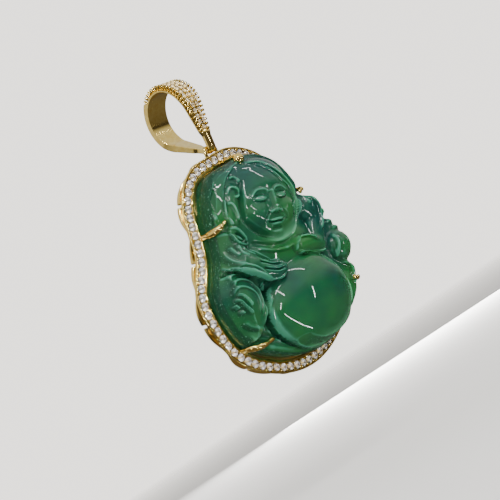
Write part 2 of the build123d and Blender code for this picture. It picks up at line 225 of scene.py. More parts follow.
# The carving: one piece of green jade, ground to a relief of a seated figure, polished on its
# face, less so on its steep side, and flat behind. It lies on the setting's ledge.
DEPTH = 39.2              # of the row of stones
CARVING_IN = 1.45         # outline of the carving inside the row
CARVING_BACK = 0.6        # its back behind the row's front plane
WALL_LEAN = 0.05
EDGE_ROUND = 0.25
SECTORS = 600             # corners round the carving, and from its middle to its edge
RINGS = 150


STONE_CORNERS = 17        # of a stone in the solids: 8 round its table, 8 round its girdle, 1 below


def seats_of(node):
    """Middle and outward direction of each cut stone of a node, read from its solids."""
    mesh = bmesh.new()
    mesh.from_mesh(frame["nodes"][node].data)
    bmesh.ops.remove_doubles(mesh, verts=mesh.verts, dist=1e-6)
    mesh.verts.index_update()
    left = {v.index: v for v in mesh.verts}
    seats = []
    while left:
        group = [left.pop(min(left))]
        for v in group:
            for other in sorted(end.index for e in v.link_edges for end in e.verts):
                if other in left:
                    group.append(left.pop(other))
        points = np.array([v.co[:] for v in group])
        middle = points.mean(axis=0)
        spread, axes = np.linalg.eigh(np.cov((points - middle).T))
        likeliest = axes[:, int(np.argmax([spread[1] - spread[0], 0, spread[2] - spread[1]]))]
        along = (points - middle) @ likeliest
        out = likeliest * -np.sign(along[np.argmax(np.abs(along))])
        heights = (points - middle) @ out
        girdle = points[np.argsort(heights)[1:-8]] if len(points) == STONE_CORNERS else points
        seats.append((Vector(girdle.mean(axis=0)), Vector(out)))
    mesh.free()
    return seats


rim_seats = seats_of("rim_stones")
middle_z = -RIM_DROP - DEPTH / 2
row = [TO_PENDANT @ place for place, out in rim_seats]
row.sort(key=lambda p: atan2(p.x, p.z - middle_z) % tau)
ROW = np.array([(p.x, p.z) for p in row])


def row_at(share):
    """Point and direction of the row of stones at a share of its length, clockwise from the top."""
    s = share * len(ROW) - 0.5
    i, t = floor(s), s - floor(s)
    a, b, c, d = (ROW[(i + k) % len(ROW)] for k in (-1, 0, 1, 2))
    point = (b + t * (c - a) / 2 + t * t * (2 * a - 5 * b + 4 * c - d) / 2
             + t ** 3 * (3 * b - a - 3 * c + d) / 2)
    along = (c - a) / 2 + t * (2 * a - 5 * b + 4 * c - d) + 3 * t * t * (3 * b - a - 3 * c + d) / 2
    return point, along / np.hypot(*along)


def row_point(share, inward=0.0):
    """Point beside the row, moved in by a distance."""
    (x, z), (tx, tz) = row_at(share)
    return x + tz * inward, z - tx * inward


# the carved face rises from its edge, less steeply at the left than at the right
SLOPE_X = (-4.0, 6.0)
SIDE_SLOPE = (1.35, 3.4)
EDGE_MIDDLE = 3.6         # height of the edge at the middle, and its rise to the right
EDGE_RISE = 0.1
EDGE_STEP = 0.15


def edge_height(x):
    """Height of the carving's edge at a place across it."""
    return EDGE_MIDDLE + EDGE_RISE * x


# notches between the lobes of the carving's right side
NOTCHES = [
    # depth below the row's top, how far in, half width
    (11.4, 1.3, 1.1),
    (17.4, 0.8, 0.7),
    (19.3, 0.6, 0.45),
    (20.9, 0.7, 0.5),
    (26.9, 1.5, 0.9),
]
# rounded forms, each a dome: its middle, half widths, the turn of its long axis in degrees,
# its foot and rise, how full it is (0.5 is round) and how softly it runs into what lies under it
DOMES = [
    # name, x, depth, half_x, half_depth, turn, foot, rise, fullness, blend
    ("hood", 0.0, 10.6, 9.6, 10.0, 0, 2.8, 3.0, 0.50, 0.5),
    ("crown", 2.4, 7.4, 6.2, 5.0, 12, 4.0, 2.8, 0.50, 0.5),
    ("face", 1.7, 10.7, 6.7, 7.1, 12, 3.6, 4.0, 0.44, 0.3),
    ("chest", 0.6, 20.0, 9.5, 6.4, 0, 3.2, 3.0, 0.50, 0.8),
    ("right_shoulder", 10.4, 14.6, 3.0, 3.4, 10, 3.4, 3.2, 0.50, 0.4),
    ("right_elbow", 12.0, 15.4, 2.6, 2.6, 0, 3.6, 2.4, 0.50, 0.4),
    ("knuckle_1", 13.4, 18.3, 1.3, 1.0, 0, 3.8, 1.6, 0.50, 0.3),
    ("knuckle_2", 14.0, 20.1, 1.3, 0.9, 0, 3.8, 1.6, 0.50, 0.3),
    ("bag", 13.2, 23.4, 3.0, 3.4, 10, 3.2, 3.6, 0.50, 0.5),
    ("left_shoulder", -9.4, 15.6, 3.4, 3.6, 0, 3.0, 2.8, 0.50, 0.6),
    ("left_knee", -12.4, 24.8, 4.9, 6.0, 4, 2.7, 3.0, 0.46, 0.5),
    ("left_heel", -12.2, 24.8, 2.4, 2.8, 12, 3.8, 2.2, 0.50, 0.4),
    ("right_knee", 10.6, 31.4, 4.4, 4.6, -20, 3.0, 2.6, 0.50, 0.6),
    ("belly", 1.4, 29.1, 9.7, 8.4, 0, 4.2, 4.9, 0.50, 0.3),
]
# long rounded forms: a middle line with a height at each point, and a radius
LIMB_BLEND = 0.35
LIMB_SUNK = 0.8           # share of the radius that the middle line lies under the top
LIMBS = [
    # name, radius, points of x, depth and height
    ("left_upper_arm", 2.1, [(-10.6, 15.4, 4.8), (-9.4, 17.2, 5.9), (-7.8, 19.0, 6.7)]),
    ("left_hand", 1.8, [(-7.8, 19.2, 6.9), (-6.0, 21.0, 7.6), (-4.0, 21.6, 8.0)]),
    ("right_sleeve", 2.0, [(10.4, 14.6, 5.6), (10.2, 17.0, 5.8), (8.8, 20.2, 6.0)]),
    ("right_cuff", 1.8, [(8.2, 21.2, 6.3), (5.4, 20.2, 6.8), (3.0, 19.9, 6.9)]),
    ("left_ear", 1.25, [(-4.4, 6.2, 5.4), (-5.9, 8.8, 5.4), (-6.9, 11.4, 5.2)]),
    ("left_lobe", 1.30, [(-7.4, 12.7, 5.1), (-7.4, 14.3, 5.3)]),
    ("lap", 1.6, [(-9.0, 33.0, 3.0), (-3.0, 36.4, 3.4), (4.0, 36.8, 3.9), (9.8, 33.6, 4.4)]),
]
# carved lines: a ridge where the side is 0; otherwise cloth or skin that steps down on one
# side of the line, 1 to the right of its direction and -1 to the left
FOLDS = [
    # name, height, width, side, points of x and depth
    ("hood_rim", 0.51, 0.43, 0, [(-6.0, 3.2), (-8.2, 5.5), (-9.1, 7.7), (-9.3, 10.1)]),
    ("hood_edge", 0.35, 0.38, 0, [(-6.5, 3.6), (-8.5, 6.0), (-9.5, 8.4), (-9.9, 10.4)]),
    ("hood_inner", 0.30, 1.34, -1, [(-1.2, 2.4), (-4.3, 3.9), (-5.9, 5.5), (-7.2, 7.6), (-7.9, 10.0)]),
    ("crown_rim", 0.80, 0.47, 0,
     [(0.2, 2.7), (2.2, 3.4), (4.2, 5.0), (5.9, 7.2), (7.4, 9.8), (8.3, 12.2), (7.6, 14.6),
      (6.1, 16.5)]),
    ("crown_inner", 0.42, 0.40, 0,
     [(1.6, 3.8), (3.0, 4.6), (4.3, 6.3), (5.2, 8.0), (6.4, 9.6), (7.0, 11.6)]),
    ("face_side", -0.72, 0.67, 0,
     [(-2.2, 5.2), (-3.4, 7.0), (-4.3, 8.9), (-5.0, 10.8), (-4.8, 12.3), (-3.9, 13.9), (-2.2, 15.6),
      (0.4, 17.0)]),
    ("ear_top", 0.61, 0.40, 0, [(-4.1, 4.2), (-3.3, 4.2), (-2.8, 4.8), (-2.7, 5.6)]),
    ("ear_curl", 0.72, 0.40, 0,
     [(-6.0, 6.9), (-5.6, 5.9), (-5.0, 5.7), (-4.2, 6.3), (-3.9, 7.2), (-4.6, 7.6), (-5.3, 7.4)]),
    ("ear_fold", 0.67, 0.40, 0, [(-6.9, 7.9), (-6.4, 8.3), (-6.3, 9.7), (-6.4, 11.6)]),
    ("ear_back", 0.54, 0.40, 0, [(-6.7, 7.1), (-7.5, 8.3), (-7.8, 10.0), (-7.7, 12.0)]),
    ("lobe_rim", 0.58, 0.38, 0,
     [(-8.5, 11.9), (-8.0, 12.0), (-7.2, 13.0), (-6.6, 14.6), (-6.4, 15.6), (-8.0, 15.1),
      (-8.9, 14.1), (-8.8, 12.9), (-8.5, 12.1)]),
    ("lobe_ring", -0.58, 0.34, 0,
     [(-8.1, 12.9), (-7.5, 13.6), (-7.0, 14.6), (-7.6, 14.7), (-8.3, 13.9)]),
    ("neck", -0.56, 0.67, 0, [(-5.6, 15.7), (-3.7, 16.9), (-1.7, 17.8), (1.0, 18.2), (3.9, 17.6)]),
    ("collar", 0.51, 0.56, 0, [(-5.2, 17.0), (-2.8, 18.4), (0.4, 19.2), (3.2, 18.7)]),
    ("arm_over", 0.40, 1.01, -1,
     [(-7.6, 16.0), (-6.2, 16.8), (-5.2, 18.2), (-4.3, 19.4), (-3.6, 20.4)]),
    ("arm_under", 0.40, 1.0, -1,
     [(-10.6, 14.7), (-10.7, 16.0), (-10.4, 17.2), (-9.6, 18.3), (-8.2, 19.8), (-7.2, 21.6),
      (-6.2, 22.8), (-4.6, 23.0), (-3.0, 22.2)]),
    ("sleeve_fold_1", 0.48, 0.43, 0, [(-9.9, 14.7), (-9.8, 15.8), (-9.5, 16.7)]),
    ("sleeve_fold_2", 0.42, 0.40, 0, [(-9.0, 14.8), (-9.0, 16.2), (-8.2, 17.4)]),
    ("sleeve_fold_3", 0.38, 0.38, 0, [(-8.2, 15.4), (-7.6, 16.8), (-6.8, 17.6)]),
    ("finger_1", -0.51, 0.29, 0, [(-7.4, 18.9), (-6.4, 19.6), (-5.2, 20.5), (-3.8, 20.9)]),
    ("finger_2", -0.51, 0.29, 0, [(-7.4, 20.2), (-6.2, 21.0), (-4.9, 21.6), (-3.4, 21.7)]),
    ("robe_under_arm", 0.61, 1.01, -1,
     [(-12.1, 17.3), (-11.5, 18.4), (-10.1, 18.9), (-8.6, 20.3), (-7.4, 22.2), (-8.0, 24.3)]),
    ("knee_fold_1", 0.58, 0.47, 0,
     [(-12.8, 19.7), (-11.7, 19.0), (-10.2, 19.4), (-8.5, 21.0), (-7.1, 23.1), (-7.4, 25.6),
      (-8.8, 27.5), (-9.8, 29.3)]),
    ("knee_fold_2", 0.54, 0.43, 0,
     [(-13.0, 21.1), (-12.1, 20.2), (-10.6, 20.4), (-9.0, 21.4), (-8.1, 23.0), (-8.2, 24.6),
      (-9.1, 26.1), (-10.2, 27.9)]),
    ("knee_fold_3", 0.51, 0.40, 0,
     [(-13.5, 22.5), (-12.9, 21.4), (-12.0, 21.3), (-10.6, 22.1), (-9.6, 23.5), (-9.7, 25.2),
      (-10.9, 27.3)]),
    ("foot_top", 0.79, 0.36, 0, [(-13.1, 22.3), (-12.6, 22.7), (-12.3, 23.7), (-12.0, 25.1)]),
    ("foot_low", 0.79, 0.36, 0, [(-13.6, 23.1), (-13.1, 23.4), (-12.8, 24.5), (-12.2, 26.3)]),
    ("toe_1", 0.70, 0.45, 0, [(-13.8, 23.8), (-13.5, 24.6)]),
    ("toe_2", 0.62, 0.40, 0, [(-13.4, 25.1), (-13.1, 25.7)]),
    ("robe_edge_1", 0.30, 0.60, 0, [(-13.4, 26.8), (-12.5, 28.5), (-10.4, 29.6), (-8.0, 31.2)]),
    ("robe_edge_2", 0.26, 0.60, 0,
     [(-13.2, 28.8), (-12.3, 30.9), (-10.1, 32.8), (-7.3, 34.6), (-4.9, 35.8)]),
    ("robe_edge_3", 0.20, 0.50, 0, [(-11.8, 30.2), (-9.0, 32.0), (-7.4, 33.0)]),
    ("belly_roll", 0.20, 0.42, 0,
     [(-6.4, 24.1), (-8.0, 25.9), (-8.8, 28.7), (-8.5, 31.3), (-7.0, 33.9), (-4.4, 35.8),
      (-0.8, 37.1), (3.0, 37.0), (6.9, 35.5), (10.2, 32.8)]),
    ("right_fold_1", 0.20, 0.50, 0, [(9.3, 11.4), (9.5, 12.6), (9.8, 14.2)]),
    ("right_fold_2", 0.64, 0.56, 0,
     [(9.4, 11.8), (10.6, 13.4), (11.3, 15.6), (10.8, 17.6), (9.6, 19.2)]),
    ("right_fold_3", 0.40, 0.40, 0, [(11.3, 13.8), (12.0, 15.4), (12.8, 17.0)]),
    ("cuff_edge", 0.72, 0.45, 0, [(1.7, 20.6), (2.0, 19.2), (3.6, 18.5), (5.6, 19.0), (7.4, 20.4)]),
    ("cuff_low", 0.72, 0.45, 0, [(1.8, 20.9), (3.6, 21.4), (7.2, 22.6), (8.8, 22.7)]),
    ("bag_tie", 0.54, 0.50, 0, [(12.2, 20.8), (12.0, 22.4), (11.3, 24.1), (11.0, 25.2)]),
    ("bag_fold", 0.22, 0.45, 0, [(14.4, 21.8), (14.6, 23.6), (13.8, 25.4)]),
    ("robe_right", 0.64, 0.56, 0, [(11.8, 25.8), (13.5, 27.6), (13.2, 29.6), (12.0, 31.0)]),
]
# the face: calm, eyes lowered, on plain proportions about its own middle line
FACE_AT = (0.9, 10.5)
FACE_TURN = 11
FACE_DOMES = [
    # name, across, down, half_across, half_down, turn, rise
    ("forehead", 0.0, -3.8, 4.2, 2.5, 0, 0.35),
    ("left_cheek", -3.2, 2.2, 2.3, 2.3, 0, 0.60),
    ("right_cheek", 3.2, 2.2, 2.3, 2.3, 0, 0.60),
    ("left_eye", -2.2, -0.4, 1.40, 0.78, 8, 0.55),
    ("right_eye", 2.2, -0.4, 1.40, 0.78, -8, 0.55),
    ("nose_tip", 0.0, 1.9, 0.95, 0.80, 0, 0.95),
    ("left_nostril", -0.95, 2.1, 0.52, 0.48, 0, 0.55),
    ("right_nostril", 0.95, 2.1, 0.52, 0.48, 0, 0.55),
    ("upper_lip", 0.0, 3.5, 1.65, 0.42, 0, 0.45),
    ("lower_lip", 0.0, 4.2, 1.25, 0.48, 0, 0.50),
    ("chin", 0.0, 5.8, 1.80, 1.05, 0, 0.55),
]
FACE_LINES = [
    # name, height, width, points across and down
    ("nose_bridge", 0.80, 0.70, [(0.0, -1.9), (0.0, -0.2), (0.0, 1.7)]),
    ("left_brow", 0.38, 0.42, [(-4.0, -0.9), (-2.7, -2.0), (-1.1, -1.9), (-0.5, -1.1)]),
    ("right_brow", 0.38, 0.42, [(4.0, -0.9), (2.7, -2.0), (1.1, -1.9), (0.5, -1.1)]),
    ("left_lid", -0.34, 0.22, [(-3.6, -0.35), (-2.6, 0.06), (-1.7, 0.06), (-1.0, -0.25)]),
    ("right_lid", -0.34, 0.22, [(3.6, -0.35), (2.6, 0.06), (1.7, 0.06), (1.0, -0.25)]),
    ("left_lid_fold", -0.18, 0.20, [(-3.5, -0.8), (-2.3, -1.2), (-1.1, -0.9)]),
    ("right_lid_fold", -0.18, 0.20, [(3.5, -0.8), (2.3, -1.2), (1.1, -0.9)]),
    ("mouth", -0.45, 0.24, [(-1.9, 3.45), (-1.0, 3.84), (0.0, 3.9), (1.0, 3.84), (1.9, 3.45)]),
    ("left_smile", -0.30, 0.40, [(-1.3, 2.0), (-2.1, 3.0), (-2.3, 4.0)]),
    ("right_smile", -0.30, 0.40, [(1.3, 2.0), (2.1, 3.0), (2.3, 4.0)]),
    ("under_lip", -0.28, 0.36, [(-1.0, 4.95), (0.0, 5.06), (1.0, 4.95)]),
]


FAR_UNDER = -9.0          # a height under all others
LINE_FADE = 6             # a carved line fades in and out over one sixth of its length
STEP_FOOT = 0.22          # run of a step's steep side
FACE_SOFTNESS = 1.5


def soft_max(a, b, blend):
    """The larger of two heights, with a rounded corner between them."""
    gap = np.maximum(0.0, 1.0 - np.abs(a - b) / blend)
    return np.maximum(a, b) + blend * gap * gap / 4


def dome_square(x, depth, cx, cd, half_x, half_d, turn):
    """Squared distance from a dome's middle, 1 at its outline."""
    c, s = cos(radians(turn)), sin(radians(turn))
    u = (x - cx) * c + (depth - cd) * s
    v = (depth - cd) * c - (x - cx) * s
    return (u / half_x) ** 2 + (v / half_d) ** 2


def smooth_line(points, steps=6):
    """Points along a smooth curve through the given ones."""
    p = np.array([points[0], *points, points[-1]], dtype=float)
    out = []
    for i in range(len(points) - 1):
        a, b, c, d = p[i:i + 4]
        for t in np.arange(0, 1, 1 / steps):
            out.append(b + t * (c - a) / 2 + t * t * (2 * a - 5 * b + 4 * c - d) / 2
                       + t ** 3 * (3 * b - a - 3 * c + d) / 2)
    out.append(p[-1])
    return np.array(out)


def to_line(x, depth, line):
    """Distance to a line, the share of the way along it, and the side of it."""
    best = np.full(x.shape, 1e9)
    along = np.zeros(x.shape)
    side = np.zeros(x.shape)
    for i in range(len(line) - 1):
        (x1, d1), (x2, d2) = line[i][:2], line[i + 1][:2]
        dx, dd = x2 - x1, d2 - d1
        t = np.clip(((x - x1) * dx + (depth - d1) * dd) / (dx * dx + dd * dd), 0, 1)
        away = np.hypot(x - x1 - t * dx, depth - d1 - t * dd)
        nearer = away < best
        best = np.where(nearer, away, best)
        along = np.where(nearer, (i + t) / (len(line) - 1), along)
        side = np.where(nearer, np.sign(dx * (depth - d1) - dd * (x - x1)), side)
    return best, along, side


def carve_line(heights, x, depth, height, width, side, points):
    """Adds one carved line to the heights."""
    line = smooth_line(points)
    reach = max(width, STEP_FOOT)
    near = ((x > line[:, 0].min() - reach) & (x < line[:, 0].max() + reach)
            & (depth > line[:, 1].min() - reach) & (depth < line[:, 1].max() + reach))
    away, along, hand = to_line(x[near], depth[near], line)
    ends = np.clip(np.minimum(along, 1 - along) * LINE_FADE, 0, 1)
    ends = ends * ends * (3 - 2 * ends)
    if side == 0:
        shape = np.clip(1 - (away / width) ** 2, 0, 1) ** 2
    else:
        inner = np.clip(1 - away / width, 0, 1)
        outer = np.clip(1 - away / STEP_FOOT, 0, 1)
        shape = np.where(hand * side < 0, inner * inner * (3 - 2 * inner),
                         outer * outer * (3 - 2 * outer))
    heights[near] += height * shape * ends


def relief(x, depth, from_edge):
    """Height of the carved face over the row's plane. Its left side slopes up from the edge."""
    heights = edge_height(x)
    for name, cx, cd, half_x, half_d, turn, foot, rise, full, blend in DOMES:
        r2 = dome_square(x, depth, cx, cd, half_x, half_d, turn)
        form = np.where(r2 < 1, foot + rise * np.clip(1 - r2, 0, 1) ** full, FAR_UNDER)
        heights = soft_max(heights, form, blend)
        if name == "face":
            heights = carve_face(heights, x, depth)
    for name, radius, points in LIMBS:
        line = smooth_line(points)
        away, along, hand = to_line(x, depth, line)
        level_at = np.interp(along, np.linspace(0, 1, len(line)), line[:, 2])
        round_over = np.sqrt(np.clip(1 - (away / radius) ** 2, 0, 1))
        form = np.where(away < radius, level_at + radius * (round_over - LIMB_SUNK), FAR_UNDER)
        heights = soft_max(heights, form, LIMB_BLEND)
    slope = np.interp(x, SLOPE_X, SIDE_SLOPE)
    heights = np.minimum(heights, edge_height(x) + EDGE_STEP + slope * from_edge)
    for name, height, width, side, points in FOLDS:
        carve_line(heights, x, depth, height, width, side, points)
    return heights


def carve_face(heights, x, depth):
    """Adds the forms and lines of the face to the heights."""
    c, s = cos(radians(FACE_TURN)), sin(radians(FACE_TURN))
    across = (x - FACE_AT[0]) * c + (depth - FACE_AT[1]) * s
    down = (depth - FACE_AT[1]) * c - (x - FACE_AT[0]) * s
    for name, cx, cd, half_x, half_d, turn, rise in FACE_DOMES:
        r2 = dome_square(across, down, cx, cd, half_x, half_d, turn)
        heights = heights + rise * np.clip(1 - r2, 0, 1) ** FACE_SOFTNESS
    for name, height, width, points in FACE_LINES:
        carve_line(heights, across, down, height, width, 0, points)
    return heights


def notch_at(points):
    """How far the notches reach in at points of the outline."""
    depth = -points[:, 1] - RIM_DROP
    extra = np.zeros(len(points))
    for at, inward, half in NOTCHES:
        extra += inward * np.exp(-((depth - at) / half) ** 2) * (points[:, 0] > 0)
    return extra


# where the carving stands further in, so that the gold wall beside it shows
GAPS = [
    # share of the row, how far in, half width as a share
    (0.895, 0.45, 0.035),
    (0.595, 0.25, 0.055),
]


def outline(inset, further_in):
    """Outline of the carving at an inset from the row, with a further distance at each place."""
    return np.array([row_point(s, inset + f) for s, f in zip(shares, further_in)])


shares = np.arange(SECTORS) / SECTORS
gaps = sum(inward * np.exp(-((shares - at) / half) ** 2) for at, inward, half in GAPS)
base = outline(CARVING_IN, gaps)
notches = notch_at(base)
rim_top = outline(CARVING_IN + WALL_LEAN + EDGE_ROUND, notches + gaps)
WALL = [
    # down the carving's side: outline, height as a share of the edge's, and drop from there
    (outline(CARVING_IN + WALL_LEAN, gaps + notches * 0.9), 1.0, EDGE_ROUND),
    (outline(CARVING_IN + WALL_LEAN * 0.4, gaps + notches * 0.3), 0.45, 0.0),
    (base, 0.0, 0.0),
    (base, 0.0, CARVING_BACK),
]
out_share = (np.arange(1, RINGS + 1) / RINGS)[:, None]
reach = np.hypot(rim_top[None, :, 0], rim_top[None, :, 1] - middle_z)
grid_x = out_share * rim_top[None, :, 0]
grid_z = middle_z + out_share * (rim_top[None, :, 1] - middle_z)
grid_depth = -grid_z - RIM_DROP
from_edge = (1 - out_share) * reach
grid_h = relief(grid_x, grid_depth, from_edge)
top_h = float(relief(np.zeros(1), np.full(1, DEPTH / 2), np.full(1, DEPTH / 2))[0])

verts = [on_pendant(0, middle_z, top_h)]
for r in range(RINGS):
    verts += [on_pendant(grid_x[r, i], grid_z[r, i], grid_h[r, i]) for i in range(SECTORS)]
for ring, share, drop in WALL:
    verts += [on_pendant(x, z, share * edge_height(x) - drop) for x, z in ring]
faces = [(0, 1 + (i + 1) % SECTORS, 1 + i) for i in range(SECTORS)]
for r in range(RINGS + len(WALL) - 1):
    a, b = 1 + r * SECTORS, 1 + (r + 1) * SECTORS
    for i in range(SECTORS):
        n = (i + 1) % SECTORS
        faces.append((a + i, a + n, b + n, b + i))
faces.append(tuple(range(len(verts) - SECTORS, len(verts))))


def make_mesh(name, verts, faces, angle=35):
    """Closed mesh with its faces outward, smooth up to an angle."""
    mesh = bpy.data.meshes.new(name)
    mesh.from_pydata(verts, [], faces)
    piece = place_in_scene(name, mesh)
    bpy.ops.object.select_all(action="DESELECT")
    piece.select_set(True)
    bpy.context.view_layer.objects.active = piece
    bpy.ops.object.mode_set(mode="EDIT")
    bpy.ops.mesh.select_all(action="SELECT")
    bpy.ops.mesh.normals_make_consistent(inside=False)
    bpy.ops.object.mode_set(mode="OBJECT")
    bpy.ops.object.shade_smooth_by_angle(angle=radians(angle))
    return piece


carving = make_mesh("jade_carving", verts, faces, 50)


def mark(piece, name, on_face, on_wall):
    """Attribute of the carving, from values on its face and one for each ring of its side."""
    middle = [0.0]
    sides = np.repeat(on_wall, SECTORS)
    attribute = piece.data.attributes.new(name, "FLOAT", "POINT")
    attribute.data.foreach_set("value", np.concatenate([middle, on_face.ravel(), sides]))


# how far a place stands over or under what is round it; it sets the painted highlights on crests and
# the painted shade in grooves
CREST_BLURS = 6
blur = grid_h.copy()
for n in range(CREST_BLURS):
    blur = (np.roll(blur, 1, 1) + np.roll(blur, -1, 1) + np.vstack([blur[1:], blur[-1:]])
            + np.vstack([blur[:1], blur[:-1]])) / 4
mark(carving, "crest", grid_h - blur, [0.0, 0.0, 0.0, 0.0])
# painted glow, as if light came through: the lower right edges of its rounded forms
GLOW = [
    # dome, strength
    ("face", 0.9),
    ("belly", 1.0),
    ("left_knee", 0.4),
    ("bag", 0.5),
    ("right_elbow", 0.5),
]
GLOW_WAY = (0.8, 0.6)     # to the right and down
GLOW_RUN = 4.0
GLOW_START = 0.45         # squared distance from a dome's middle, its rise and its end
GLOW_RISE = 0.5
GLOW_END = 1.03
painted_glow = np.zeros(grid_h.shape)
for name, strength in GLOW:
    cx, cd, half_x, half_d, turn = next(d[1:6] for d in DOMES if d[0] == name)
    r2 = dome_square(grid_x, grid_depth, cx, cd, half_x, half_d, turn)
    lower_right = (grid_x - cx) * GLOW_WAY[0] + (grid_depth - cd) * GLOW_WAY[1]
    band = np.clip((r2 - GLOW_START) / GLOW_RISE, 0, 1) * (r2 < GLOW_END)
    painted_glow = np.maximum(painted_glow, band * np.clip(lower_right / GLOW_RUN, 0, 1) * strength)
mark(carving, "painted_glow", painted_glow, [0.0, 0.0, 0.0, 0.0])
# its steep side, which is ground but not polished, and its back, which is half polished
STEEP = 1.3               # slope from which it counts as steep, and the run to fully so
STEEP_RUN = 0.6
SIDE_WIDTH = 2.6          # from the edge
EDGE_WIDTH = 0.25
steep = -np.gradient(grid_h, axis=0) * RINGS / reach
side_wall = np.clip((steep - STEEP) / STEEP_RUN, 0, 1) * np.clip(SIDE_WIDTH - from_edge, 0, 1)
edge = np.clip(1.0 - from_edge / EDGE_WIDTH, 0, 1)
mark(carving, "ground", np.maximum(side_wall, edge), [1.0, 1.0, 0.4, 0.4])

def new_material(name):
    """Material, its nodes, its surface and the place on the piece that its patterns follow."""
    material = bpy.data.materials.new(name)
    material.use_nodes = True
    tree = material.node_tree
    place = add(tree, "TexCoord").outputs["Object"]
    return material, tree, tree.nodes["Principled BSDF"], place


# polished jade: deep blue-green body that light enters, clouded with a yellower green; with
# painted highlights on its crests, painted shade in its grooves, a painted glow at the lower right
# edges of its rounded forms, and painted shade and painted glints on its ground side
JADE_BODY = [(0.36, "#0a3830"), (0.62, "#1e5828")]
CHEST = (0.001, -0.007, -0.0375)   # in metres, as all places below
jade, tree, shader, place = new_material("polished_green_jade")
cloud = add(tree, "TexNoise", i0=place, Scale=60.0, Detail=3.0).outputs["Fac"]
# it is bluer towards its top and left side, and yellower at the chest
across = add(tree, "SeparateXYZ", i0=place).outputs
low = add(tree, "MapRange", i0=across["Z"], i1=-0.050, i2=-0.016, i3=0.02, i4=-0.10).outputs[0]
low = add(tree, "Math", {"operation": "MULTIPLY_ADD"}, i0=across["X"], i1=2.0, i2=low).outputs[0]
chest = add(tree, "VectorMath", {"operation": "DISTANCE"}, i0=place, i1=CHEST).outputs["Value"]
chest = add(tree, "MapRange", i0=chest, i1=0.003, i2=0.011, i3=0.16, i4=0.0).outputs[0]
yellower = add(tree, "Math", i0=low, i1=chest).outputs[0]
body = ramp(tree, add(tree, "Math", i0=cloud, i1=yellower).outputs[0], JADE_BODY)
crest_at = add(tree, "Attribute", {"attribute_name": "crest"}).outputs["Fac"]
# painted highlight along the crests of the carving
ridge = add(tree, "MapRange", i0=crest_at, i1=0.025, i2=0.13, i3=0.0, i4=0.52).outputs[0]
# painted shade in the grooves of the carving
groove_shade = add(tree, "MapRange", i0=crest_at, i1=0.0, i2=-0.17, i3=0.0, i4=0.55).outputs[0]
# painted glow on the lower right edges of the rounded forms
painted_glow_at = add(tree, "Attribute", {"attribute_name": "painted_glow"}).outputs["Fac"]
rough_at = add(tree, "Attribute", {"attribute_name": "ground"}).outputs["Fac"]
# the ground side: its grit for the bump below, and a darker colour that is painted shade on the steep
# wall beside the rim
ground_and_shade_at = add(tree, "Math", {"operation": "MULTIPLY"}, i0=rough_at, i1=0.7).outputs[0]
# painted glints on the ground side: small bright flecks, a quarter of a millimetre across
glint_fleck = add(tree, "TexNoise", i0=place, Scale=3600.0, Detail=1.0).outputs["Fac"]
glint_fleck = add(tree, "MapRange", i0=glint_fleck, i1=0.66, i2=0.74, i3=0.0, i4=0.45).outputs[0]
painted_glints = add(tree, "Math", {"operation": "MULTIPLY"}, i0=glint_fleck, i1=rough_at).outputs[0]
LAYERS = [
    # how much, colour, each over the last: painted highlight, painted shade, painted glow, painted
    # shade, painted glints
    (ridge, "#468c74"),
    (groove_shade, "#0a2e22"),
    (painted_glow_at, "#4f8f6a"),
    (ground_and_shade_at, "#0b2a1c"),
    (painted_glints, "#7fb89c"),
]
for share, hex_code in LAYERS:
    layer = add(tree, "Mix", {"data_type": "RGBA"}, Factor=share)
    tree.links.new(body, layer.inputs[6])
    layer.inputs[7].default_value = srgb(hex_code)
    body = layer.outputs[2]
tree.links.new(body, shader.inputs["Base Color"])
dull = add(tree, "MapRange", i0=rough_at, i3=0.04, i4=0.30).outputs[0]
tree.links.new(dull, shader.inputs["Roughness"])
gloss = add(tree, "MapRange", i0=rough_at, i3=0.38, i4=0.10).outputs[0]
tree.links.new(gloss, shader.inputs["Specular IOR Level"])
grit = add(tree, "TexNoise", i0=place, Scale=1800.0, Detail=2.0).outputs["Fac"]
pits = add(tree, "Bump", Height=grit, Strength=ground_and_shade_at, Distance=0.00012).outputs[0]
tree.links.new(pits, shader.inputs["Normal"])
shader.inputs["IOR"].default_value = 1.62
shader.inputs["Subsurface Weight"].default_value = 0.45
shader.inputs["Subsurface Radius"].default_value = (0.3, 1.0, 0.5)
shader.inputs["Subsurface Scale"].default_value = 0.0016
carving.data.materials.append(jade)
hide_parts("jade_buddha")
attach(carving, "pendant")


# Rim of the setting: a cast gold channel that follows the stone's outline, with a plain
# polished outer edge, a lower inner wall, and a ledge behind that carries the carving.
BAND_OUT = 1.10           # outside and inside the stones' centre line
BAND_IN = 1.00
BAND_FACE = 0.45          # depth of the band's full width, and the outside of what is behind it
BAND_WAIST = 0.75
BAND_DEEP = 1.10
SEAT_IN = 2.30            # inner edge of the ledge
FIT_GAP = 0.05            # between the ledge and the carving
LEDGE = -CARVING_BACK - FIT_GAP
RIM_STATIONS = 296
RIM_SECTION = [
    # inward, height over the row's plane: up the outside, across the channel, down and back
    (-BAND_WAIST, -BAND_DEEP),
    (-BAND_WAIST, -BAND_FACE - 0.04),
    (-BAND_OUT + 0.05, -BAND_FACE),
    (-BAND_OUT - 0.03, -BAND_FACE + 0.07),
    (-BAND_OUT - 0.03, -0.10),
    (-BAND_OUT + 0.02, -0.02),
    (-BAND_OUT + 0.10, 0.02),
    (-BAND_OUT + 0.24, 0.0),
    (-0.80, -0.08),
    (-0.72, -0.30),
    (-0.30, -0.62),
    (0.30, -0.62),
    (0.72, -0.30),
    (0.76, -0.08),
    (BAND_IN - 0.14, 0.0),
    (BAND_IN + 0.22, -0.04),
    (BAND_IN + 0.28, -0.14),
    (BAND_IN + 0.28, LEDGE),
    (SEAT_IN, LEDGE),
    (SEAT_IN, -BAND_DEEP),
]


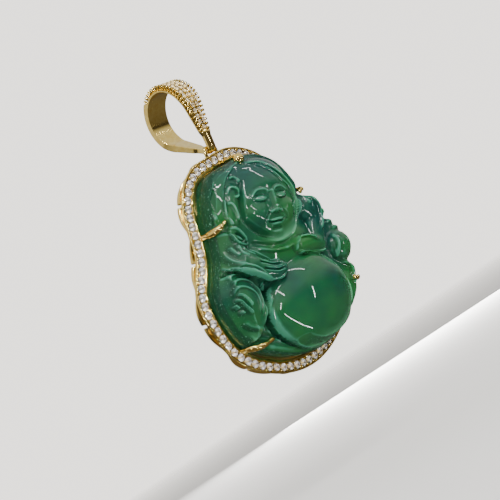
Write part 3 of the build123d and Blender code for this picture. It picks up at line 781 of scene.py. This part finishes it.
def skin(name, rings, ring_closed=False, angle=35):
    """Skin over sections of equal count, joined into a ring or capped at both ends."""
    count = len(rings[0])
    verts = [p for ring in rings for p in ring]
    faces = []
    for i in range(len(rings) if ring_closed else len(rings) - 1):
        a, b = i * count, (i + 1) % len(rings) * count
        for k in range(count):
            n = (k + 1) % count
            faces.append((a + k, b + k, b + n, a + n))
    if not ring_closed:
        faces.append(tuple(range(count)))
        faces.append(tuple((len(rings) - 1) * count + k for k in range(count)))
    return make_mesh(name, verts, faces, angle)


def join(name, pieces):
    """One piece out of several."""
    bpy.ops.object.select_all(action="DESELECT")
    for p in pieces:
        p.select_set(True)
    bpy.context.view_layer.objects.active = pieces[0]
    bpy.ops.object.join()
    pieces[0].name = name
    pieces[0].data.name = name
    return pieces[0]


# gold: cast, filed and polished to a mirror, with faint tool marks that soften it
GOLD_TONES = [(0.3, "#f5dc86"), (0.7, "#e8c76e")]
gold, tree, shader, place = new_material("polished_yellow_gold")
marks = add(tree, "TexNoise", i0=place, Scale=1400.0, Detail=2.0).outputs["Fac"]
tree.links.new(ramp(tree, marks, GOLD_TONES), shader.inputs["Base Color"])
shader.inputs["Metallic"].default_value = 1.0
worn = add(tree, "MapRange", i0=marks, i1=0.3, i2=0.7, i3=0.07, i4=0.16).outputs[0]
tree.links.new(worn, shader.inputs["Roughness"])
dents = add(tree, "Bump", Height=marks, Strength=0.10, Distance=0.00004).outputs[0]
tree.links.new(dents, shader.inputs["Normal"])


def finish_gold(piece, body):
    """Gives a piece its gold and the body that it moves with."""
    piece.data.materials.clear()
    piece.data.materials.append(gold)
    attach(piece, body)


rings = []
for i in range(RIM_STATIONS):
    share = i / RIM_STATIONS
    rings.append([on_pendant(*row_point(share, inward), high) for inward, high in RIM_SECTION])
rim = skin("rim_channel", rings, True)
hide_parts("setting")
finish_gold(rim, "pendant")

# Grain beads: small balls raised from the channel's metal, two on each side between
# neighbouring stones, that hold the stones down.
BEAD_R = 0.17
BEAD_OUT = 0.60           # from the stones' centre line
BEAD_APART = 0.17         # half the distance between the two of a pair
BEAD_HEIGHT = 0.02        # of its middle over the row's plane


def copies(name, model, places):
    """One mesh of a small model's copies, each moved by its own matrix."""
    corners = np.array([v.co[:] for v in model.data.vertices])
    polygons = [tuple(p.vertices) for p in model.data.polygons]
    verts, faces = [], []
    for m in places:
        first = len(verts)
        verts += [tuple(c) for c in corners @ np.array(m.to_3x3()).T + np.array(m.translation)]
        faces += [tuple(first + v for v in p) for p in polygons]
    mesh = bpy.data.meshes.new(name)
    mesh.from_pydata(verts, [], faces)
    bpy.data.objects.remove(model)
    return place_in_scene(name, mesh)


def bead_copies(name, places):
    """Round beads at the places, each its matrix."""
    bpy.ops.object.select_all(action="DESELECT")
    bpy.ops.mesh.primitive_ico_sphere_add(subdivisions=2, radius=1)
    beads = copies(name, bpy.context.object, places)
    beads.data.shade_smooth()
    return beads


places = []
for i in range(len(ROW)):
    (x, z), (tx, tz) = row_at(i / len(ROW))
    for side in (-1, 1):
        for step in (-1, 1):
            px = x + tz * side * BEAD_OUT + tx * step * BEAD_APART
            pz = z - tx * side * BEAD_OUT + tz * step * BEAD_APART
            middle = Matrix.Translation(on_pendant(px, pz, BEAD_HEIGHT))
            places.append(middle @ Matrix.Scale(BEAD_R * MM, 4))
finish_gold(bead_copies("rim_beads", places), "pendant")


# Gallery: pairs of bowed gold bars behind the rim, each like half a leaf. Each leaves the
# rim's edge, runs back to a notch between the pair, and is soldered there to a short strut.
WING_PAIRS = 11
WING_BACK = 2.10          # back of the bars at the notches, behind the row's plane
WING_BAR = 0.85           # width of a bar at the notch, and where it leaves the rim
WING_BAR_ROOT = 0.40
WING_ROOT = 0.05          # front of a bar there, behind the row's plane
WING_GAP = 0.60           # notch between the two bars of a pair
WING_BOW = 0.17           # how far the bars bow outward
WING_DOME = 0.02          # rise of a bar's outer face
WING_SHIFT = 1.90         # the pairs start this far round from the top
WING_OUT = 0.96           # outer and inner side of the bars, outside the row's line
WING_IN = 0.45
WING_STEPS = 16
STRUT_W = 0.32
STRUT_IN = 0.03
STRUT_SOFT = 0.06
STRUT_LAP = 0.10          # how far a strut runs into the rim and into its bar
ROW_LENGTH = float(np.sum(np.hypot(*(np.roll(ROW, -1, 0) - ROW).T)))


def bar_section(share, bow, front, behind, soft=0.10):
    """Rounded rectangle across the gallery wall, its outer face slightly domed."""
    out, inside = -WING_OUT - bow, -WING_IN - bow
    corners = [
        (out + soft, -front), (out, -front - soft), (out - WING_DOME, -(front + behind) / 2),
        (out, -behind + soft), (out + soft, -behind), (inside - soft, -behind),
        (inside, -behind + soft), (inside, -front - soft), (inside - soft, -front),
    ]
    return [on_pendant(*row_point(share % 1.0, inward), high) for inward, high in corners]


def wing_bar(start, side, run):
    """One bowed bar, which widens and runs back from the rim's edge to the notch."""
    rings = []
    for k in range(WING_STEPS + 1):
        u = k / WING_STEPS
        swell = sin(u * pi / 2)
        bar = WING_BAR_ROOT + (WING_BAR - WING_BAR_ROOT) * swell
        root_back = WING_ROOT + WING_BAR_ROOT
        behind = root_back + (WING_BACK - root_back) * swell
        rings.append(bar_section(start + side * u * run, WING_BOW * sin(u * pi), behind - bar, behind))
    return skin("bar", rings)


def strut(start, side, run):
    """Short post from the rim back to the end of a bar."""
    rings = []
    for k in range(3):
        share = start + side * (run - STRUT_W / ROW_LENGTH * k / 2)
        front, behind = BAND_FACE - STRUT_LAP, WING_BACK - STRUT_LAP
        rings.append(bar_section(share, -STRUT_IN, front, behind, STRUT_SOFT))
    return skin("strut", rings)


bars = []
for i in range(WING_PAIRS):
    start = (i + 0.5) / WING_PAIRS - WING_SHIFT / ROW_LENGTH
    run = 0.5 / WING_PAIRS - WING_GAP / 2 / ROW_LENGTH
    for side in (-1, 1):
        bars.append(wing_bar(start, side, run))
        bars.append(strut(start, side, run))
gallery = join("gallery_wings", bars)
finish_gold(gallery, "pendant")

# Claws: five tapered gold horns soldered inside the rim, bent over the carving's edge with
# a ridge along their backs and round tips. The top one ends in a ball.
CLAW_STAND = 1.07         # of a claw's foot inside the row
CLAW_CLEAR = 0.02         # over the carving
CLAW_SIDES = 14
CLAW_RIDGE = 0.22
BALL_SIDES, BALL_RINGS = 24, 14
CLAWS = [
    # name, share of the row, reach, half width at the bend, tip radius, turn along the row in mm,
    # thickness over the carving
    ("claw_top", 0.003, 0.75, 0.24, 0.95, 0.0, 1.0),
    ("claw_upper_right", 0.158, 1.5, 0.40, 0.45, 0.0, 0.5),
    ("claw_lower_right", 0.345, 1.9, 0.48, 0.48, 0.5, 0.5),
    ("claw_lower_left", 0.643, 2.9, 0.72, 0.50, -3.8, 1.0),
    ("claw_upper_left", 0.838, 2.2, 0.68, 0.46, 1.2, 1.0),
]


edge_x, edge_z = grid_x[-1], grid_z[-1] - middle_z
edge_reach = np.hypot(edge_x, edge_z)


def height_under(share, inset):
    """Height of the finished carving at a place in from the row."""
    x, z = row_point(share, inset)
    if inset < CARVING_IN + WALL_LEAN + EDGE_ROUND:
        return edge_height(x)
    z -= middle_z
    radial = hypot(x, z)
    at = np.argmin(np.hypot(edge_x / edge_reach - x / radial, edge_z / edge_reach - z / radial))
    ring = min(RINGS - 1, max(0, int(radial / edge_reach[at] * RINGS)))
    return float(grid_h[ring, at])


def claw_rings(points, line, across):
    """Sections along a claw, oval and with a ridge along the back."""
    rings = []
    for n, (p, s) in enumerate(zip(points, line)):
        along = (points[min(n + 1, len(points) - 1)] - points[max(n - 1, 0)]).normalized()
        out = along.cross(across).normalized()
        ring = []
        for a in range(CLAW_SIDES):
            angle = tau * a / CLAW_SIDES
            ridge = 1 + CLAW_RIDGE * max(0.0, sin(angle)) ** 6
            ring.append(p + across * (s[2] * MM * cos(angle)) + out * (s[3] * MM * ridge * sin(angle)))
        rings.append(ring)
    return rings


for name, share, reach_in, wide, tip, turn, thick in CLAWS:
    def beside(inset):
        """Share of the row where the claw is at an inset, as it turns along the row."""
        return (share + turn * max(0.0, inset - CLAW_STAND) / reach_in / ROW_LENGTH) % 1.0

    insets = [CLAW_STAND + reach_in * k / 10 for k in range(11)]
    lift = max(height_under(beside(inset), inset) for inset in insets) + CLAW_CLEAR
    spine = [
        # inset from the row, height of the middle, half width, half thickness
        (CLAW_STAND, -CARVING_BACK, 0.50, 0.32),
        (CLAW_STAND, lift * 0.30, 0.50, 0.32),
        (CLAW_STAND + reach_in * 0.02, lift * 0.62, wide * 0.95, 0.36),
        (CLAW_STAND + reach_in * 0.16, lift * 0.88 + 0.20 * thick, wide, 0.42 * thick),
        (CLAW_STAND + reach_in * 0.45, lift + 0.34 * thick, wide * 0.85, 0.38 * thick),
        (CLAW_STAND + reach_in * 0.75, lift + 0.28 * thick, wide * 0.72, 0.34 * thick),
        (CLAW_STAND + reach_in, lift + tip * 0.5, tip, tip * 0.75),
    ]
    line = smooth_line(spine, 5)
    points = [on_pendant(*row_point(beside(s[0]), s[0]), s[1]) for s in line]
    way_x, way_z = row_at(share)[1]
    across = (TO_WORLD.to_3x3() @ Vector((way_x, 0, way_z))).normalized()
    rings = claw_rings(points, line, across)
    last, end, along = rings[-1], points[-1], (points[-1] - points[-2]).normalized()
    for shrink in (0.94, 0.78, 0.5, 0.2):
        far = sqrt(1 - shrink ** 2) * tip * MM
        rings.append([end + along * far + (q - end) * shrink for q in last])
    claw = skin(name, rings, angle=60)
    if name == "claw_top":
        bpy.ops.object.select_all(action="DESELECT")
        bpy.ops.mesh.primitive_uv_sphere_add(segments=BALL_SIDES, ring_count=BALL_RINGS,
                                             radius=tip * MM, location=end)
        ball = bpy.context.object
        bpy.ops.object.transform_apply(location=True)
        ball.data.shade_smooth()
        claw = join(name, [claw, ball])
    finish_gold(claw, "pendant")

# Loop: a gold wire of round section, bent to a square arch and soldered to the rim's top. The
# bail's eye turns on its straight top.
LOOP_WIRE_R = 0.33
LOOP_GAP = 1.90           # inside width
LOOP_CORNER_R = 0.60
LOOP_CORNER_STEPS = 6
LOOP_SIDES = 12
LOOP_LAP = 0.2            # of its feet in the rim
LOOP_FOOT = -RIM_DROP + BAND_WAIST - LOOP_LAP
half = LOOP_GAP / 2 + LOOP_WIRE_R
path = [(-half, LOOP_FOOT), (-half, (LOOP_FOOT - LOOP_CORNER_R) / 2)]
for k in range(LOOP_CORNER_STEPS + 1):
    a = pi - k / LOOP_CORNER_STEPS * pi / 2
    path.append((-half + LOOP_CORNER_R * (1 + cos(a)), -LOOP_CORNER_R * (1 - sin(a))))
path += [(-x, z) for x, z in reversed(path)]
rings = []
for n, (x, z) in enumerate(path):
    before, after = path[max(n - 1, 0)], path[min(n + 1, len(path) - 1)]
    tx, tz = after[0] - before[0], after[1] - before[1]
    length = hypot(tx, tz)
    ring = []
    for a in range(LOOP_SIDES):
        c, s = LOOP_WIRE_R * cos(tau * a / LOOP_SIDES), LOOP_WIRE_R * sin(tau * a / LOOP_SIDES)
        ring.append(TO_WORLD @ Vector((x - tz / length * c, s, z + tx / length * c)))
    rings.append(ring)
finish_gold(skin("loop", rings, angle=60), "pendant")


# Rim stones: clear round brilliants, each with a table, star, kite and girdle facets above
# and kites below, dropped into the channel under the grain beads.
TABLE_R, TABLE_H = 0.56, 0.32   # all as shares of the stone's radius
STAR_R = 0.76
CULET = 0.86
LOW_R = 0.28
GIRDLE = 0.03
STONE_SPIN = 0.37         # each stone is turned by this much more than the last, in radians
RIM_STONE_R = 0.70


def brilliant():
    """Round brilliant of radius 1, its table up."""
    def ring(radius, height, turn, count=8):
        angles = [tau * (i + turn) / count for i in range(count)]
        return [(radius * cos(a), radius * sin(a), height) for a in angles]

    star_h = TABLE_H / (1 - TABLE_R) * (1 - STAR_R * cos(tau / 16))
    low_h = -CULET * (1 - LOW_R * cos(tau / 16))
    verts = (ring(TABLE_R, TABLE_H, 0) + ring(STAR_R, star_h, 0.5) + ring(1, GIRDLE / 2, 0, 16)
             + ring(1, -GIRDLE / 2, 0, 16) + ring(LOW_R, low_h, 0.5) + [(0, 0, -CULET)])
    star, top, low, point, tip = 8, 16, 32, 48, 56
    faces = [tuple(range(8))]
    for i in range(8):
        j = (i + 1) % 8
        here, half, there = 2 * i, 2 * i + 1, 2 * j
        faces += [(i, star + i, j), (j, star + i, top + there, star + j)]
        faces += [(star + i, top + half, top + there), (star + i, top + here, top + half)]
        faces += [(low + here, low + half, point + i), (low + half, low + there, point + i)]
        faces += [(low + there, point + j, tip, point + i)]
    for i in range(16):
        faces.append((top + i, low + i, low + (i + 1) % 16, top + (i + 1) % 16))
    return make_mesh("brilliant", verts, faces, 1)


def upright(place, way):
    """Matrix that puts a model at a place with its top along a way."""
    return Matrix.Translation(place) @ way.to_track_quat("Z", "Y").to_matrix().to_4x4()


def stone_places(seats, radius):
    """Matrices that put a brilliant on each seat, each turned a little from the last."""
    size = Matrix.Scale(radius * MM, 4)
    return [upright(place, way) @ Matrix.Rotation(n * STONE_SPIN, 4, "Z") @ size
            for n, (place, way) in enumerate(seats)]


# clear stone: colourless, strongly refracting, so its facets go from white to dark
CLEAR_TONES = [(0.35, "#fdf6f0"), (0.65, "#f4f6fb")]
clear_stone, tree, shader, place = new_material("cut_clear_stone")
cloud = add(tree, "TexNoise", i0=place, Scale=500.0).outputs["Fac"]
tree.links.new(ramp(tree, cloud, CLEAR_TONES), shader.inputs["Base Color"])
shader.inputs["Roughness"].default_value = 0.0
shader.inputs["IOR"].default_value = 2.15
shader.inputs["Transmission Weight"].default_value = 0.92


def finish_stones(piece, node, body):
    """Gives a row of stones its material and the body it moves with, and hides the node that it stands
    for.
    """
    piece.data.materials.append(clear_stone)
    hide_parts(node)
    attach(piece, body)


stones = copies("rim_brilliants", brilliant(), stone_places(rim_seats, RIM_STONE_R))
finish_stones(stones, "rim_stones", "pendant")


# Bail: a gold strip bent into a tapered teardrop, its ends closed round the loop's wire. Its
# front is a field of small stones between rows of posts; its inside and back are plain.
BAIL_LENGTH = 8.90        # from the hinge line to the middle of the round top
BAIL_ROUND_R = 6.25       # outside of the round top
BAIL_T = 1.30
BAIL_EYE_R = 0.45         # inside and thickness of the eye that holds the loop
BAIL_EYE_T = 0.70
BAIL_WIDTHS = [
    # height over the hinge line, width
    (1.1, 1.60),
    (1.6, 2.15),
    (BAIL_LENGTH * 0.9, 4.00),
    (BAIL_LENGTH + BAIL_ROUND_R, 4.50),
]
BAIL_LEAN = radians(18.2)
BAIL_TO_WORLD = (Matrix.Translation(HINGE) @ Matrix.Rotation(-BAIL_LEAN, 4, "X")
                 @ Matrix.Scale(MM, 4))
BAIL_TO_OWN = BAIL_TO_WORLD.inverted()
TRAY_START = 1.60         # the stones start this high over the eye, end this far over the top
TRAY_OVER = 1.20
TRAY_RAMP = 0.5
TRAY_ROUND = 0.7          # and never go past this share of the round
TRAY_FLOOR = 0.30
TRAY_WALL = 0.42
PLATE_T = 0.45            # plain inner plate that carries the posts
CROWN = 0.12              # rise of the plain part's outside
BAIL_STATIONS = 150
EYE_OUT = BAIL_EYE_R + BAIL_EYE_T
SLANT = asin((BAIL_ROUND_R - EYE_OUT) / BAIL_LENGTH)
STRAIGHT = sqrt(BAIL_LENGTH ** 2 - (BAIL_ROUND_R - EYE_OUT) ** 2)
ROUND_RUN = BAIL_ROUND_R * (pi + 2 * SLANT)
EYE_RUN = EYE_OUT * (pi - 2 * SLANT)
BAIL_RUN = 2 * STRAIGHT + ROUND_RUN + EYE_RUN


def bail_at(distance):
    """Outside of the bail at a distance up its front: place, outward way and thickness."""
    distance = distance % BAIL_RUN
    if distance < STRAIGHT:
        n = (-cos(SLANT), -sin(SLANT))
        thick = BAIL_EYE_T + (BAIL_T - BAIL_EYE_T) * distance / STRAIGHT
        y, z = n[0] * EYE_OUT - sin(SLANT) * distance, n[1] * EYE_OUT + cos(SLANT) * distance
        return (y, z), n, thick
    distance -= STRAIGHT
    if distance < ROUND_RUN:
        a = SLANT - distance / BAIL_ROUND_R
        n = (-cos(a), -sin(a))
        return (n[0] * BAIL_ROUND_R, BAIL_LENGTH + n[1] * BAIL_ROUND_R), n, BAIL_T
    distance -= ROUND_RUN
    if distance < STRAIGHT:
        n = (cos(SLANT), -sin(SLANT))
        to_eye = STRAIGHT - distance
        thick = BAIL_EYE_T + (BAIL_T - BAIL_EYE_T) * to_eye / STRAIGHT
        return (n[0] * EYE_OUT + sin(SLANT) * to_eye, n[1] * EYE_OUT + cos(SLANT) * to_eye), n, thick
    distance -= STRAIGHT
    a = -SLANT - distance / EYE_OUT
    n = (cos(a), sin(a))
    return (n[0] * EYE_OUT, n[1] * EYE_OUT), n, BAIL_EYE_T


def bail_half_width(z):
    """Half the bail's width at a height over the hinge line."""
    return float(np.interp(z, *zip(*BAIL_WIDTHS))) / 2


def on_bail(x, distance, out):
    """Point at a width, a distance along and a height over the bail's outside, in metres."""
    (y, z), n = bail_at(distance)[:2]
    return BAIL_TO_WORLD @ Vector((x, y + n[0] * out, z + n[1] * out))


def tray_share(distance):
    """1 where the bail carries stones and 0 where it is plain, with short ramps between."""
    y, z = bail_at(distance)[0]
    if distance % BAIL_RUN > STRAIGHT + ROUND_RUN * TRAY_ROUND:
        return 0.0
    lower = min(1.0, max(0.0, (z - TRAY_START) / TRAY_RAMP))
    return lower * min(1.0, max(0.0, (TRAY_OVER - y) / TRAY_RAMP))


rings = []
for i in range(BAIL_STATIONS):
    distance = BAIL_RUN * i / BAIL_STATIONS
    (y, z), n, thick = bail_at(distance)
    w = bail_half_width(z)
    open_here = tray_share(distance)
    cut = TRAY_WALL * open_here
    floor_h = -TRAY_FLOOR * open_here
    crown = CROWN * (1 - open_here)
    top = (PLATE_T - thick) * open_here
    section = [
        # width, height over the outside: up the left side, across, down the right side and back
        (-w, -thick + 0.10), (-w, top - 0.10), (-w + 0.08 + cut * 0.6, top),
        (-w + 0.10 + cut, floor_h - 0.12), (-w + 0.24 + cut, floor_h), (0, floor_h + crown),
        (w - 0.24 - cut, floor_h), (w - 0.10 - cut, floor_h - 0.12), (w - 0.08 - cut * 0.6, top),
        (w, top - 0.10), (w, -thick + 0.10), (w - 0.10, -thick), (-w + 0.10, -thick),
    ]
    rings.append([on_bail(x, distance, out) for x, out in section])
bail = skin("bail_strip", rings, True)
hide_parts("bail")
finish_gold(bail, "bail")

# Posts of the bail: round-headed gold pins, a row down each side of the strip, cut from its
# edges. They hold the outer stones.
POST_PITCH = 0.80
POST_R = 0.25
POST_LEAN = 0.18
POST_IN = 0.9             # of its radius inside the strip's edge
POST_SUNK = 0.7           # share of the plate that it runs through
POSTS_FROM = 0.4          # share of the tray's depth where the row starts
HEAD_STEPS = [
    # rise, and what is left of the radius
    (0.075, 0.84),
    (0.055, 0.55),
]
bpy.ops.object.select_all(action="DESELECT")
bpy.ops.mesh.primitive_cylinder_add(vertices=10, radius=1, depth=1, location=(0, 0, -0.5))
post = bpy.context.object
bpy.ops.object.transform_apply(location=True)
bpy.ops.object.mode_set(mode="EDIT")
bpy.ops.mesh.select_all(action="DESELECT")
bpy.ops.object.mode_set(mode="OBJECT")
for face in post.data.polygons:
    face.select = face.normal.z > 0.9
bpy.ops.object.mode_set(mode="EDIT")
for rise, shrink in HEAD_STEPS:
    bpy.ops.mesh.extrude_region_move(TRANSFORM_OT_translate={"value": (0, 0, rise)})
    bpy.ops.transform.resize(value=(shrink, shrink, 1))
bpy.ops.object.mode_set(mode="OBJECT")
places = []
distance = 0.0
while distance < STRAIGHT + ROUND_RUN * TRAY_ROUND:
    (y, z), n, thick = bail_at(distance)
    if tray_share(distance) > POSTS_FROM:
        tall = (thick - PLATE_T * POST_SUNK) * MM
        for side in (-1, 1):
            foot = on_bail(side * (bail_half_width(z) - POST_R * POST_IN), distance, 0.0)
            way = (BAIL_TO_WORLD.to_3x3() @ Vector((side * POST_LEAN, n[0], n[1]))).normalized()
            places.append(upright(foot, way) @ Matrix.Diagonal((POST_R * MM, POST_R * MM, tall, 1)))
    distance += POST_PITCH
posts = copies("bail_posts", post, places)
posts.data.shade_smooth()
finish_gold(posts, "bail")

# Grain beads of the bail: small gold balls raised between each two neighbouring stones.
BAIL_BEAD_R = 0.13
BAIL_BEAD_HEIGHT = 0.08
NEIGHBOURS = (0.7, 1.35)  # distances between the middles of two stones with a bead between
bail_seats = seats_of("bail_stones")
places = []
own = [BAIL_TO_OWN @ place for place, way in bail_seats]
for n, p in enumerate(own):
    for q, (place, way) in zip(own[n + 1:], bail_seats[n + 1:]):
        if NEIGHBOURS[0] < (p - q).length < NEIGHBOURS[1]:
            up_here = (bail_seats[n][1] + way).normalized()
            spot = BAIL_TO_WORLD @ ((p + q) / 2) + up_here * BAIL_BEAD_HEIGHT * MM
            places.append(Matrix.Translation(spot) @ Matrix.Scale(BAIL_BEAD_R * MM, 4))
finish_gold(bead_copies("bail_beads", places), "bail")

# Bail stones: small clear brilliants in rows over the front, cut as the rim's are.
BAIL_STONE_R = 0.43
field = copies("bail_brilliants", brilliant(), stone_places(bail_seats, BAIL_STONE_R))
finish_stones(field, "bail_stones", "bail")
